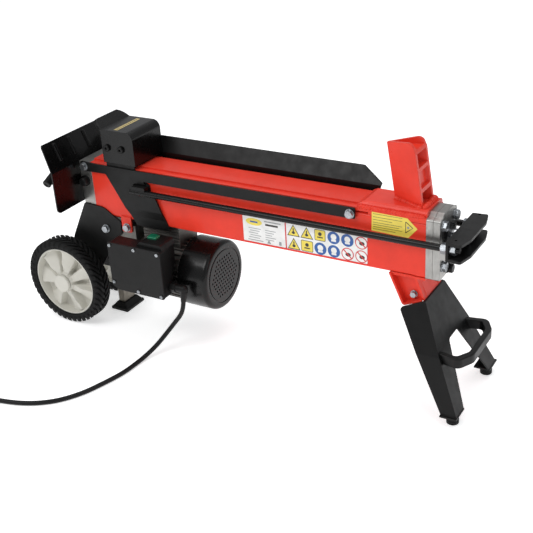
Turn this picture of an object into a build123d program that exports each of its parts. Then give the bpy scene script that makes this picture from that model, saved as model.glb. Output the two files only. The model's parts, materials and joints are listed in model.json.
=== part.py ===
from build123d import *
import math
import os

# Electric log splitter on two wheels and an A-shaped front leg.
# Millimetres. +X runs along the beam from the pusher end to the wedge end, -Y is the
# switch-box side, +Z is up, z = 0 is the floor. The sub-parts are drawn about the beam's middle
# plane, y = 0 below, and are all moved by MID_Y as they are written.

os.makedirs("parts", exist_ok=True)

# ---- driving dimensions --------------------------------------------------------------
BEAM_X0, BEAM_X1 = -314.0, 388.0      # ends of the beam tube
BEAM_HALF = 38.0                      # half the beam's width
BEAM_Z0, BEAM_Z1 = 239.0, 339.0       # bottom and top of the tube
WALL = 4.0                            # tube wall
WAY_Z0, WAY_Z1 = 343.0, 349.0         # guide plate that the pusher hooks under
WAY_NECK = 30.0                       # half width of the neck below the guide plate
RAIL_HALF, RAIL_Z1 = 25.0, 352.4      # raised strip on the guide plate
BLOCK_X0 = -342.0                     # rear face of the valve block
PLATE_T = 12.5                        # each of the two end plates
END_X = BEAM_X1 + 2 * PLATE_T         # outer face of the outer end plate
RAM_Z = 309.0                         # height of piston rod and pull rods
STROKE = 380.0                        # travel of the ram
BORE_R, BARREL_R = 22.0, 25.4         # hydraulic cylinder
PISTON_R, ROD_R = 21.94, 12.5
ROD_Y, PULL_R = 52.0, 6.0             # pull rods: half spacing and radius
YOKE_X, YOKE_T = 431.0, 5.0           # inner face and thickness of the yoke's web
YOKE_HALF, YOKE_H = 64.0, 34.0
PUSH_X0, PUSH_X1 = -272.0, -197.0     # pusher box
PUSH_HALF = 45.0
PUSH_Z0, PUSH_Z1 = 358.0, 423.4
SHEET = 3.0                           # black folded sheet parts
BAND_Y = 41.5                         # inner face of the near log plate
FAR_Y = 46.0                          # inner face of the far log plate
WHEEL_X, WHEEL_R, WHEEL_Y = -384.0, 93.4, 74.0
WHEEL_W, RIM_R, AXLE_R = 38.0, 74.0, 8.0
MOTOR_Z, COVER_R = 138.0, 70.0        # motor axis height and fan cover radius
FIN_R, HOUSING_R = 64.0, 58.0
LEG_TOP_X, LEG_TOP_Z, LEG_RAKE = 388.0, 199.0, 0.458
FOOT_H = 18.0
BOX_X0, BOX_X1 = -234.5, -111.5       # switch box
BOX_Z0, BOX_Z1 = 122.6, 222.0
BOX_Y0, BOX_Y1 = -112.3, -78.0
CORD_R = 4.5                          # mains lead, 9 mm over the sheath
HEX_ROUND, HEX_CHAMFER = 0.565, 0.055  # turned corners of nuts and bolt heads, of their flats
MID_Y = 8.0                           # the beam's middle plane, from the middle of the outline


# ---- helpers -------------------------------------------------------------------------
def save(name, *solids):
    """Write one sub-part, moved into the machine's frame; several solids become one group."""
    pieces = [Pos(0, MID_Y, 0) * s for item in solids for s in item.solids()]
    shape = pieces[0] if len(pieces) == 1 else Compound(children=pieces)
    shape.label = name
    export_step(shape, "parts/" + name + ".step")


def block(x0, x1, y0, y1, z0, z1):
    """Box between two corners."""
    return Pos((x0 + x1) / 2, (y0 + y1) / 2, (z0 + z1) / 2) * Box(x1 - x0, y1 - y0, z1 - z0)


def bar_x(x0, x1, y, z, r):
    """Round bar along X."""
    return Pos((x0 + x1) / 2, y, z) * Rot(0, 90, 0) * Cylinder(r, x1 - x0)


def bar_y(y0, y1, x, z, r):
    """Round bar along Y."""
    return Pos(x, (y0 + y1) / 2, z) * Rot(90, 0, 0) * Cylinder(r, y1 - y0)


def bar_z(z0, z1, x, y, r):
    """Round bar along Z."""
    return Pos(x, y, (z0 + z1) / 2) * Cylinder(r, z1 - z0)


def hex_x(x0, x1, y, z, flats):
    """Hexagonal bar along X, with flats at top and bottom."""
    face = RegularPolygon(flats / math.sqrt(3), 6, rotation=30)
    turned = bar_x(x0, x1, y, z, flats * HEX_ROUND)
    turned = chamfer(turned.edges().filter_by(GeomType.CIRCLE), flats * HEX_CHAMFER)
    return Pos(x0, y, z) * Rot(0, 90, 0) * extrude(face, x1 - x0) & turned


def hex_y(y0, y1, x, z, flats):
    """Hexagonal bar along Y."""
    face = RegularPolygon(flats / math.sqrt(3), 6)
    turned = bar_y(y0, y1, x, z, flats * HEX_ROUND)
    turned = chamfer(turned.edges().filter_by(GeomType.CIRCLE), flats * HEX_CHAMFER)
    return Pos(x, y1, z) * Rot(90, 0, 0) * extrude(face, y1 - y0) & turned


def outline(points, radii=None):
    """Closed face on XY; a corner with a radius is rounded with a tangent arc."""
    count = len(points)
    radii = radii or [0] * count
    corners = []
    for i in range(count):
        here = Vector(*points[i])
        back = (Vector(*points[i - 1]) - here).normalized()
        ahead = (Vector(*points[(i + 1) % count]) - here).normalized()
        r = radii[i]
        if r == 0:
            corners.append((here, None, here))
            continue
        half = math.radians(back.get_angle(ahead)) / 2
        cut = r / math.tan(half)
        centre = here + (back + ahead).normalized() * (r / math.sin(half))
        middle = centre + (here - centre).normalized() * r
        corners.append((here + back * cut, middle, here + ahead * cut))
    edges = []
    for i in range(count):
        first, middle, last = corners[i]
        if middle is not None:
            edges.append(ThreePointArc(first, middle, last))
        edges.append(Line(last, corners[(i + 1) % count][0]))
    return make_face(Wire(edges).edges())


def prism_xz(points, y0, y1, radii=None):
    """Outline in X and Z, thick along Y."""
    return Pos(0, y1, 0) * Rot(90, 0, 0) * extrude(outline(points, radii), y1 - y0)


def prism_yz(points, x0, x1, radii=None):
    """Outline in Y and Z, thick along X."""
    return extrude(Plane.YZ.offset(x0) * outline(points, radii), x1 - x0)


def prism_xy(points, z0, z1, radii=None):
    """Outline in X and Y, thick along Z."""
    return Pos(0, 0, z0) * extrude(outline(points, radii), z1 - z0)


def ring_x(x0, x1, y, z, r_out, r_in):
    """Tube along X."""
    return bar_x(x0, x1, y, z, r_out) - bar_x(x0 - 1, x1 + 1, y, z, r_in)


def ring_y(y0, y1, x, z, r_out, r_in):
    """Tube along Y."""
    return bar_y(y0, y1, x, z, r_out) - bar_y(y0 - 1, y1 + 1, x, z, r_in)


def mirrored(shape):
    """The same piece on the other side of the machine."""
    return mirror(shape, about=Plane.XZ)


def leg_plane(z):
    """X of the raked front face of the leg at a height."""
    return LEG_TOP_X + LEG_RAKE * (LEG_TOP_Z - z)


# ---- beam, guide way and wedge -------------------------------------------------------
BASE_X0, BASE_TOP, BASE_HALF = 262.0, 360.0, 35.0
CHEEK_X0 = 284.0                       # filled sides under the wedge end of the guide plate
BRACKET_BOLTS = [(-293.5, 211.0), (-239.0, 223.0)]


def beam_tube():
    outer = RectangleRounded(2 * BEAM_HALF, BEAM_Z1 - BEAM_Z0, 5)
    inner = RectangleRounded(2 * (BEAM_HALF - WALL), BEAM_Z1 - BEAM_Z0 - 2 * WALL, 2)
    middle = (BEAM_Z0 + BEAM_Z1) / 2
    tube = Pos(0, 0, middle) * extrude(Plane.YZ.offset(BEAM_X0) * (outer - inner), BEAM_X1 - BEAM_X0)
    x, z = BRACKET_BOLTS[1]
    lug = block(x - 13, x + 11, -BEAM_HALF - SHEET, -BEAM_HALF, z - 11, 245)
    lug = fillet(lug.edges().filter_by(Axis.Y).group_by(Axis.Z)[0], 4)
    lug = lug - bar_y(-60, -30, x, z, 4.1)
    return tube + lug + mirrored(lug)


def top_rail():
    half = [(WAY_NECK, BEAM_Z1), (WAY_NECK, WAY_Z0), (BEAM_HALF, WAY_Z0), (BEAM_HALF, WAY_Z1),
            (RAIL_HALF, WAY_Z1), (RAIL_HALF, RAIL_Z1)]
    other = [(-y, z) for y, z in reversed(half)]
    cheek = block(CHEEK_X0, BEAM_X1, WAY_NECK - 1, BEAM_HALF, BEAM_Z1, WAY_Z0)
    return prism_yz(half + other, BEAM_X0, BEAM_X1) + cheek + mirrored(cheek)


def wedge_base():
    section = [(RAIL_HALF, WAY_Z1), (BASE_HALF, WAY_Z1), (BASE_HALF - 1, BASE_TOP - 5),
               (BASE_HALF - 3, BASE_TOP - 2), (BASE_HALF - 7, BASE_TOP)]
    other = [(-y, z) for y, z in reversed(section)]
    full = section + other + [(-RAIL_HALF, RAIL_Z1), (RAIL_HALF, RAIL_Z1)]
    plate = prism_yz(full, BASE_X0, BEAM_X1)
    nose = prism_xz([(BASE_X0 - 1, BASE_TOP + 1), (BASE_X0 - 1, WAY_Z1 + 4), (BASE_X0 + 14, BASE_TOP + 1)],
                    -40, 40)
    return plate - nose


WEDGE_EDGE = (315.8, 299.6)           # x of the cutting edge at the two heights below
WEDGE_REAR = (376.2, 359.6)           # x of the open back at the same heights
WEDGE_Z = (BASE_TOP, 472.0)
WEDGE_HALF = 25.0


def wedge_loft(front_gap, front_half, back_gap, back_half):
    """Body whose four-sided plan leans back evenly from the lower to the upper height."""
    faces = []
    for edge, rear, z in zip(WEDGE_EDGE, WEDGE_REAR, WEDGE_Z):
        points = [(edge + front_gap, -front_half), (rear + back_gap, -back_half),
                  (rear + back_gap, back_half), (edge + front_gap, front_half)]
        faces.append(Pos(0, 0, z) * outline(points))
    return loft(faces)


def wedge():
    solid = wedge_loft(0, 1.2, 0, WEDGE_HALF)
    hollow = wedge_loft(13, 1.5, 4, WEDGE_HALF - 4.5)
    for z0, z1 in ((384.0, 391.0), (420.0, 426.0), (450.0, 456.0)):
        hollow = hollow - block(200, 400, -40, 40, z0, z1)
    web = wedge_loft(36, 8, -6, WEDGE_HALF) & block(200, 400, -40, 40, 391, 420)
    side = prism_xz([(317.2, BASE_TOP), (302.2, 458.5), (356, 468.5), (364.5, 446), (380, BASE_TOP),
                     (380, BASE_TOP - 1)], -40, 40, [0, 1.5, 11, 14, 0, 0])
    return (solid - (hollow - web)) & side


def end_plate(x0, x1, hole):
    """Aluminium plate with low shoulders and a raised middle."""
    half = [(BEAM_HALF + 0.5, BEAM_Z0 - 1), (BEAM_HALF + 0.5, 347.5), (28, 350), (20, 355.5)]
    other = [(-y, z) for y, z in reversed(half)]
    radii = [4, 5, 6, 6]
    plate = prism_yz(half + other, x0, x1, radii + list(reversed(radii)))
    plate = plate - bar_x(x0 - 1, x1 + 1, 0, RAM_Z, hole)
    for y, z in END_BOLTS:
        plate = plate - bar_x(x0 - 1, x1 + 1, y, z, 5.2)
    return chamfer(plate.faces().sort_by(Axis.X)[-1].outer_wire().edges(), 1.0)


END_BOLTS = [(-26.0, 336.0), (26.0, 336.0), (-26.0, 262.0), (26.0, 262.0)]
GLAND_R = 17.0
save("beam_tube", beam_tube())
save("top_rail", top_rail())
save("wedge_base", wedge_base())
save("wedge", wedge())
save("inner_end_plate", end_plate(BEAM_X1, BEAM_X1 + PLATE_T, GLAND_R))
outer_plate = end_plate(BEAM_X1 + PLATE_T, END_X, GLAND_R) - bar_x(END_X - 8, END_X + 1, -8, 252, 6)
save("outer_end_plate", outer_plate)


def end_bolt(y, z):
    """Hexagon bolt with its washer, its shank in the two plates."""
    washer = ring_x(END_X, END_X + 2, y, z, 9.5, 5.0)
    head = hex_x(END_X + 2, END_X + 8, y, z, 15)
    shank = bar_x(BEAM_X1 + 1, END_X + 2, y, z, 5.0)
    return washer + head + shank


save("end_plate_bolts", *[end_bolt(y, z) for y, z in END_BOLTS])
gland = bar_x(BEAM_X1 + 0.5, END_X, 0, RAM_Z, GLAND_R) + bar_x(END_X, END_X + 5, 0, RAM_Z, 21)
save("rod_gland", gland - bar_x(BEAM_X1, END_X + 6, 0, RAM_Z, ROD_R + 0.08))
knob = bar_x(END_X - 8, END_X, -8, 252, 6) + bar_x(END_X, END_X + 4, -8, 252, 9)
knob = knob + bar_x(END_X + 4, END_X + 13, -8, 252, 8)
save("dipstick_plug", chamfer(knob.faces().sort_by(Axis.X)[-1].edges(), 1.5))

# ---- valve block and control ---------------------------------------------------------
SHAFT_Z, SPOOL_X, SPOOL_Z = 322.0, -331.0, 308.0
SPOOL_R = 6.0


def valve_block():
    body = block(BLOCK_X0, BEAM_X0, -BEAM_HALF, BEAM_HALF, BEAM_Z0, WAY_Z1)
    body = chamfer(body.edges().filter_by(Axis.Y), 1.2)
    body = body - bar_y(-BEAM_HALF - 1, BEAM_HALF - 6, SPOOL_X, SPOOL_Z, SPOOL_R + 0.08)
    body = body - block(BLOCK_X0 - 1, SPOOL_X + 8, -12, 12, 299, 332)
    return body - bar_y(-BEAM_HALF - 1, -BEAM_HALF + 6, SPOOL_X, SPOOL_Z, 8)


def valve_spool():
    spool = bar_y(-24, 20, SPOOL_X, SPOOL_Z, SPOOL_R)
    for y in (-17.0, 13.0):
        spool = spool - ring_y(y - 2, y + 2, SPOOL_X, SPOOL_Z, SPOOL_R + 1, SPOOL_R - 2)
    return spool - block(SPOOL_X - 9, SPOOL_X + 9, -3.1, 3.1, SPOOL_Z - 9, SPOOL_Z + 9)


def spool_body():
    """The notch for the crank pin leaves a web on its far side, so the spool stays whole."""
    web = bar_y(-4, 4, SPOOL_X, SPOOL_Z, SPOOL_R) & block(SPOOL_X + 2.5, SPOOL_X + 9, -5, 5, 290, 330)
    return valve_spool() + web


save("valve_block", valve_block())
cap = bar_y(-BEAM_HALF, -BEAM_HALF + 5.5, SPOOL_X, SPOOL_Z, 7.9)
cap = cap + bar_y(-BEAM_HALF - 2.5, -BEAM_HALF, SPOOL_X, SPOOL_Z, 10.9)
cap = cap + bar_y(-BEAM_HALF - 13, -BEAM_HALF - 2.5, SPOOL_X, SPOOL_Z, 8.5)
save("spool_cap", chamfer(cap.faces().sort_by(Axis.Y)[0].edges(), 1.5))
save("valve_spool", spool_body())

LEVER_X0, LEVER_X1 = -364.0, -358.0
crank = block(-341.2, -337.2, -5, 5, SPOOL_Z - 5, SHAFT_Z + 7) + bar_x(-337.4, -329.5, 0, SPOOL_Z, 2.5)
save("lever_shaft", bar_x(-368, -341, 0, SHAFT_Z, 5) + crank)
GRIP_A, GRIP_B = (-78.0, 343.0), (-119.0, 324.0)
lever_points = [(9, 318), (9, 328), (-50, 356), (-66, 356), (-84, 347), (-82, 337.5), (-64, 345),
                (-52, 345), (-4, 316)]
lever = prism_yz(lever_points, LEVER_X0, LEVER_X1, [4, 4, 5, 5, 0, 0, 5, 5, 4])
lever = lever - bar_x(LEVER_X0 - 1, LEVER_X1 + 1, 0, SHAFT_Z, 5.02)
grip_dir = Vector(0, GRIP_B[0] - GRIP_A[0], GRIP_B[1] - GRIP_A[1])
grip_at = Vector((LEVER_X0 + LEVER_X1) / 2, *GRIP_A)


def along(start, direction, reach, length, r):
    """Round bar from a point along a direction."""
    plane = Plane(origin=start + direction.normalized() * reach, z_dir=direction)
    return extrude(plane * Circle(r), length)


lever = lever + along(grip_at, grip_dir, -6, 44, 4)
save("control_lever", lever)
grip = along(grip_at, grip_dir, 2, grip_dir.length - 2, 8.5) - along(grip_at, grip_dir, -6, 44.05, 4.02)
grip = grip - (lever & block(-400, -300, -90, -60, 320, 370))
save("lever_grip", grip.solids().sort_by(SortBy.VOLUME)[-1])


def lever_guard():
    """Folded hand guard: upright at the block, its upper part leaning back, with pressed ribs."""
    t = 2.6
    fold_z, top_x, top_z = 348.0, -365.0, 401.0
    profile = [(BLOCK_X0, 264.6), (BLOCK_X0, fold_z), (top_x, top_z), (top_x - t, top_z - 1),
               (BLOCK_X0 - t, fold_z + 0.6), (BLOCK_X0 - t, 264.6)]
    sheet = prism_xz(profile, -130, 70)
    edge = [(-119, 264.6), (-119, 348), (-112, 402), (60, 402), (60, 354), (43, 338), (43, 264.6)]
    sheet = sheet & prism_yz(edge, -400, -300, [10, 60, 9, 9, 6, 6, 6])
    lean = math.degrees(math.atan2(BLOCK_X0 - top_x, top_z - fold_z))
    for y in GUARD_RIBS:
        rib = Pos(-355.2, y, 379.0) * Rot(0, -lean, 0) * Box(5.4, 7.6, 37.0)
        sheet = sheet + fillet(rib.edges(), 2.0)
    sheet = sheet - bar_x(-350, -340, 0, SHAFT_Z, 5.4)
    for y, z in GUARD_BOLTS:
        sheet = sheet - bar_x(-350, -340, y, z, 3.2)
    return sheet


GUARD_RIBS = [-81.0, -38.0, 6.0]
GUARD_BOLTS = [(-28.0, 280.0), (28.0, 280.0), (28.0, 336.0)]
save("lever_guard", lever_guard())

# ---- ram: piston, rods, yoke and pusher ----------------------------------------------
PISTON_X0, PISTON_X1 = -292.0, -262.0
save("cylinder_tube", ring_x(BEAM_X0, BEAM_X1, 0, RAM_Z, BARREL_R, BORE_R))
piston = bar_x(PISTON_X0, PISTON_X1, 0, RAM_Z, PISTON_R)
for x in (-286.0, -275.0):
    piston = piston - ring_x(x, x + 4, 0, RAM_Z, 30, PISTON_R - 2)
save("piston", piston)
rod = bar_x(PISTON_X1, YOKE_X, 0, RAM_Z, ROD_R) + bar_x(YOKE_X, YOKE_X + 20, 0, RAM_Z, 7)
save("piston_rod", rod)
ROD_X0, ROD_X1 = -209.0, 452.5
pull = bar_x(ROD_X0, ROD_X1, -ROD_Y, RAM_Z, PULL_R)
pull = chamfer(pull.faces().sort_by(Axis.X)[-1].edges(), 1.2)
save("pull_rods", pull, mirrored(pull))


def yoke():
    z0, z1 = RAM_Z - YOKE_H / 2, RAM_Z + YOKE_H / 2
    plan = [(YOKE_X, -YOKE_HALF), (458, -67), (465, -36), (465, 36), (458, 67), (YOKE_X, YOKE_HALF)]
    solid = prism_xy(plan, z0, z1, [2, 5, 8, 8, 5, 2])
    channel = block(YOKE_X + YOKE_T, 500, -100, 100, z0 + 5, z1 - 5)
    solid = solid - channel
    for y in (-ROD_Y, ROD_Y):
        solid = solid - bar_x(YOKE_X - 1, YOKE_X + 8, y, RAM_Z, PULL_R + 0.1)
    for y in (-51, 61):
        solid = solid - bar_z(z1 - 6, z1 + 1, 444, y, 2.4)
    return solid - bar_x(YOKE_X - 1, YOKE_X + 8, 0, RAM_Z, 7.1)


save("yoke", yoke())


def nut(x0, x1, y, flats, r):
    return hex_x(x0, x1, y, RAM_Z, flats) - bar_x(x0 - 1, x1 + 1, y, RAM_Z, r)


nuts = [nut(420.5, 431, y, 17, PULL_R + 0.02) for y in (-ROD_Y, ROD_Y)]
nuts += [nut(436, 446, y, 17, PULL_R + 0.02) for y in (-ROD_Y, ROD_Y)]
save("yoke_nuts", *nuts, nut(436, 449, 0, 21, 7.02))


def pusher_box():
    """Bent steel box, open at the back and below, with a splash flap on its rear top edge."""
    shell = prism_xz([(PUSH_X0, PUSH_Z0), (PUSH_X1, PUSH_Z0), (PUSH_X1, PUSH_Z1), (PUSH_X0, PUSH_Z1)],
                     -PUSH_HALF, PUSH_HALF, [0, 0, 15, 0])
    inside = prism_xz([(PUSH_X0 - 5, PUSH_Z0 - 5), (PUSH_X1 - 6, PUSH_Z0 - 5),
                       (PUSH_X1 - 6, PUSH_Z1 - 5), (PUSH_X0 - 5, PUSH_Z1 - 5)],
                      -PUSH_HALF + 5, PUSH_HALF - 5, [0, 0, 10, 0])
    box = shell - inside
    flap = prism_xz([(PUSH_X0 + 3, PUSH_Z1), (PUSH_X0 - 17, PUSH_Z1 + 15), (PUSH_X0 - 19.5, PUSH_Z1 + 12),
                     (PUSH_X0 - 1, PUSH_Z1 - 4), (PUSH_X0 + 3, PUSH_Z1 - 4)], -PUSH_HALF, PUSH_HALF)
    round_flap = prism_yz([(-PUSH_HALF, 410), (PUSH_HALF, 410), (PUSH_HALF, 438.6), (-PUSH_HALF, 438.6)],
                          -300, -260, [0, 0, 19, 19])
    box = box + (flap & round_flap)
    for x in (-259.5, -226.5):
        box = box - bar_y(-60, 60, x, 388, 4.1)
    return box


save("pusher_box", pusher_box())


def slide_side():
    """Cheek, hooked lip and drag arm on the switch side, and the lug that reaches the pull rod."""
    inner, outer = -38.4, -41.1
    cheek = block(-270, -203, outer, inner, 339.5, 352.8)
    lip = block(-270, -203, inner, -31, 339.5, 342.6)
    ear = block(-268, -217, -39.8, -34, 357.8, 400)
    arm = prism_xz([(-252, 339.5), (-203, 339.5), (-172, 322), (-172, 305), (-210, 305)], outer, inner)
    lug = block(-206, -174, -56, outer, 312, 321) - bar_x(-215, -160, -ROD_Y, RAM_Z, PULL_R)
    lug = fillet(lug.edges().filter_by(Axis.Y).group_by(Axis.Z)[-1], 3)
    for x in (-259.5, -226.5):
        ear = ear - bar_y(-60, 60, x, 388, 4.1)
    return cheek + lip + ear + arm + lug


slide_plate = block(-270, -203, -41.1, 41.1, 352.8, 357.9)
near_side = slide_side()
save("pusher_slide", slide_plate + near_side + mirrored(near_side))


def side_bolt(x, z, y_face, y_tip, flats=13):
    """Hexagon bolt along Y with a washer; its head is on the -Y side."""
    washer = bar_y(y_face - 1.6, y_face, x, z, flats * 0.66)
    head = hex_y(y_face - 7, y_face - 1.6, x, z, flats)
    return washer + head + bar_y(y_face, y_tip, x, z, 4.0)


def socket_bolt(x, z):
    """Button-head socket screw through the pusher's cheek."""
    head = bar_y(-PUSH_HALF - 5, -PUSH_HALF, x, z, 7.0)
    head = fillet(head.faces().sort_by(Axis.Y)[0].edges(), 2.2)
    socket = Pos(x, -PUSH_HALF - 2, z) * Rot(90, 0, 0) * extrude(RegularPolygon(2.9, 6), 4)
    return head - socket + bar_y(-PUSH_HALF, -33, x, z, 4.0)


near_bolts = [socket_bolt(x, 388) for x in (-259.5, -226.5)]
save("pusher_bolts", *near_bolts, *[mirrored(b) for b in near_bolts])

# ---- log plates ----------------------------------------------------------------------
BAND_X0, BAND_X1, BAND_Z0 = -334.0, 262.0, 329.0


def near_log_plate():
    """Long band beside the guide way, with a slotted strut down to the beam's lower edge."""
    face = [(BAND_X0, 351.5), (BAND_X0, 335), (-322, 331), (-273.5, 332.5), (-213, 232), (-134, 232),
            (-154.5, 286), (-159, 297), (-166, 311), (-208, 311), (-208, 323), (-179, 323),
            (-185.5, BAND_Z0), (BAND_X1, BAND_Z0), (BAND_X1, WAY_Z1), (-296, WAY_Z1)]
    radii = [4, 4, 3, 2, 0, 0, 3, 3, 3, 5, 5, 1.5, 2, 2, 2, 0]
    fold = 268.0
    section = [(-BAND_Y, WAY_Z1 + 4), (-BAND_Y, fold), (-BEAM_HALF, 252), (-BEAM_HALF, 230),
               (-BEAM_HALF - SHEET, 230), (-BEAM_HALF - SHEET, 252), (-BAND_Y - SHEET, fold),
               (-BAND_Y - SHEET, WAY_Z1 + 4)]
    plate = prism_xz(face, -60, -30, radii) & prism_yz(section, -400, 400)
    for x, z in PLATE_BOLTS:
        plate = plate - bar_y(-60, -30, x, z, 4.1)
    return plate


def far_log_plate():
    """Flared plate that keeps a log on the beam, pointed at the wedge end."""
    y0, y1 = FAR_Y, FAR_Y + SHEET
    section = [(y0, 325), (y0, 357), (y0 + 18, 384.5), (y0 + 20.5, 383), (y1, 356), (y1, 325)]
    face = [(BAND_X0, 325), (BAND_X1, 325), (BAND_X1 + 6, 350), (BAND_X1 + 9, 360), (226, 386),
            (BAND_X0, 386)]
    plate = prism_yz(section, -400, 400) & prism_xz(face, 30, 90, [4, 6, 0, 2, 3, 8])
    for x, z in PLATE_BOLTS:
        plate = plate - bar_y(30, 60, x, z, 4.1)
    return plate


PLATE_BOLTS = [(-325.0, 341.0), (253.0, 338.0)]
save("near_log_plate", near_log_plate())
save("far_log_plate", far_log_plate())
spacers = [ring_y(-BAND_Y, -BEAM_HALF, x, z, 5, 4.1) for x, z in PLATE_BOLTS]
spacers += [ring_y(BEAM_HALF, FAR_Y, x, z, 7 if x < 0 else 5, 4.1) for x, z in PLATE_BOLTS]

# ---- wheels --------------------------------------------------------------------------
def wheel_bracket():
    face = [(-342, 259), (-300, 257), (-289, 253), (-266, 238), (-255, 232), (-255, 206), (-276, 182),
            (-352, 74), (-402, 74), (-404, 118), (-382, 182)]
    plate = prism_xz(face, -BEAM_HALF - SHEET, -BEAM_HALF, [3, 6, 6, 6, 3, 4, 20, 14, 16, 20, 20])
    flange = prism_xz([(-404, 118), (-382, 182), (-379, 181), (-401, 117)], -BEAM_HALF, -18)
    plate = plate + flange - bar_y(-60, -10, WHEEL_X, WHEEL_R, AXLE_R)
    x, z = BRACKET_BOLTS[0]
    return plate - bar_y(-60, -30, x, z, 4.1)


save("wheel_brackets", wheel_bracket(), mirrored(wheel_bracket()))
axle = bar_y(-99, 99, WHEEL_X, WHEEL_R, AXLE_R)
collar = ring_y(-52, -44, WHEEL_X, WHEEL_R, 12, AXLE_R - 1)
axle = axle + collar + mirrored(collar)
save("wheel_axle", axle)
cap = bar_y(-101, -95.4, WHEEL_X, WHEEL_R, 19)
cap = fillet(cap.faces().sort_by(Axis.Y)[0].edges(), 2) - bar_y(-99, -90, WHEEL_X, WHEEL_R, AXLE_R)
save("axle_caps", cap, mirrored(cap))


def wheel_rim():
    """Moulded rim: barrel, hub and seven spokes."""
    y0, y1 = -WHEEL_Y - WHEEL_W / 2 + 3, -WHEEL_Y + WHEEL_W / 2 - 3
    barrel = ring_y(y0, y1, WHEEL_X, WHEEL_R, RIM_R, RIM_R - 8)
    hub = ring_y(-WHEEL_Y - 20, -WHEEL_Y + 20, WHEEL_X, WHEEL_R, 15, AXLE_R + 0.1)
    rim = barrel + hub
    count = 7
    for i in range(count):
        turn = Pos(WHEEL_X, 0, WHEEL_R) * Rot(0, 360 / count * i, 0)
        spoke = prism_xz([(-8, 10), (8, 10), (14, 68), (-14, 68)], y0 + 3, y0 + 13)
        rib = prism_xz([(-2.5, 10), (2.5, 10), (2.5, 68), (-2.5, 68)], y0 + 10, y1 - 2)
        rim = rim + turn * spoke + turn * rib
    return rim


def wheel_tyre():
    half, crown = WHEEL_W / 2, WHEEL_R - RIM_R
    section = [(-half + 2, 0.05), (half - 2, 0.05), (half, 7), (half - 1, crown - 4), (half - 5, crown),
               (-half + 5, crown), (-half + 1, crown - 4), (-half, 7)]
    face = outline([(RIM_R + z, y) for y, z in section], [1, 1, 4, 3, 3, 3, 3, 4])
    tyre = revolve(face, axis=Axis.Y)
    return Pos(WHEEL_X, -WHEEL_Y, WHEEL_R) * tyre


rim_near = wheel_rim()
tyre_near = wheel_tyre()
save("near_rim", rim_near)
save("near_tyre", tyre_near)
save("far_rim", mirrored(rim_near))
save("far_tyre", mirrored(tyre_near))

# ---- motor and pump ------------------------------------------------------------------
POST = (-317.0, 20.0)
save("support_post", block(POST[0] - 7.5, POST[0] + 7.5, POST[1] - 17.5, POST[1] + 17.5, 6, 160))


def support_pad():
    """Rubber shoe with flared corners that the post stands in."""
    x, y = POST
    sole = block(x - 21, x + 21, y - 29.5, y + 29.5, 0, 6)
    collar = loft([Pos(x, y, 6) * Rectangle(38, 55), Pos(x, y, 16) * Rectangle(22, 42)])
    return sole + collar - block(x - 7.5, x + 7.5, y - 17.5, y + 17.5, 6, 30)


save("support_pad", support_pad())
PUMP_X0, PUMP_X1, GEAR_X0, GEAR_X1 = -272.0, -222.0, -262.0, -244.0
GEAR_STEP = 24.0
DRIVEN_Z = MOTOR_Z + GEAR_STEP


def pump_body():
    body = block(-328, -240, -BEAM_HALF + 0.1, BEAM_HALF - 0.1, 160, BEAM_Z0)
    body = body + bar_x(PUMP_X0, PUMP_X1, 0, MOTOR_Z, 46) + block(-240, PUMP_X1, -37.9, 37.9, 138, 226)
    for z in (MOTOR_Z, DRIVEN_Z):
        body = body - bar_x(GEAR_X0 - 0.4, GEAR_X1 + 0.4, 0, z, 14.1)
    body = body - bar_x(GEAR_X0 - 1, PUMP_X1 + 1, 0, MOTOR_Z, 7.08)
    body = body - bar_x(GEAR_X0 - 8, GEAR_X1 + 8, 0, DRIVEN_Z, 5.08)
    return body


save("pump_body", pump_body())


def gear(phase):
    """Twelve coarse teeth about the X axis at the origin, with running clearance."""
    teeth = 12
    wheel = bar_x(GEAR_X0, GEAR_X1, 0, 0, 9.8)
    tooth = prism_yz([(-1.5, 9), (1.5, 9), (0.7, 13.6), (-0.7, 13.6)], GEAR_X0, GEAR_X1)
    for i in range(teeth):
        wheel = wheel + Rot(phase + 360 / teeth * i, 0, 0) * tooth
    return wheel


save("drive_gear", Pos(0, 0, MOTOR_Z) * (gear(0) - bar_x(-300, -200, 0, 0, 7.0)))
driven_shaft = bar_x(GEAR_X0 - 7, GEAR_X1 + 7, 0, 0, 5)
save("driven_gear", Pos(0, 0, DRIVEN_Z) * (gear(15) + driven_shaft))

BELL_X0, HOUSE_X0, HOUSE_X1 = PUMP_X1, -212.0, -106.0
COVER_X0, COVER_X1 = -108.0, -44.0


def motor_housing():
    """Finned aluminium barrel with a rear shield and a saddle under the beam."""
    body = bar_x(HOUSE_X0, HOUSE_X1, 0, MOTOR_Z, HOUSING_R)
    fins = 36
    for i in range(fins):
        angle = 360 / fins * i
        fin = block(HOUSE_X0, COVER_X0 - 4, -1.1, 1.1, HOUSING_R - 1, FIN_R)
        body = body + Pos(0, 0, MOTOR_Z) * Rot(angle, 0, 0) * fin
    for angle in (45, 135, 225, 315):
        lug = block(COVER_X0 - 4, COVER_X0 + 7, -5, 5, HOUSING_R - 1, COVER_R)
        lug = lug & bar_x(-200, -50, 0, 0, COVER_R - 2.55)
        body = body + Pos(0, 0, MOTOR_Z) * Rot(angle, 0, 0) * lug
    saddle = block(-208, -122, -30, 30, 190, BEAM_Z0)
    for z in (203, 210, 217, 224, 231):
        saddle = saddle - block(-209, -121, -31, -28, z, z + 2.6) - block(-209, -121, 28, 31, z, z + 2.6)
    body = body + saddle
    body = body - bar_x(HOUSE_X0 - 1, -118, 0, MOTOR_Z, 52.0)
    body = body - bar_x(-119, HOUSE_X1 + 1, 0, MOTOR_Z, 16.0)
    return body


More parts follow.
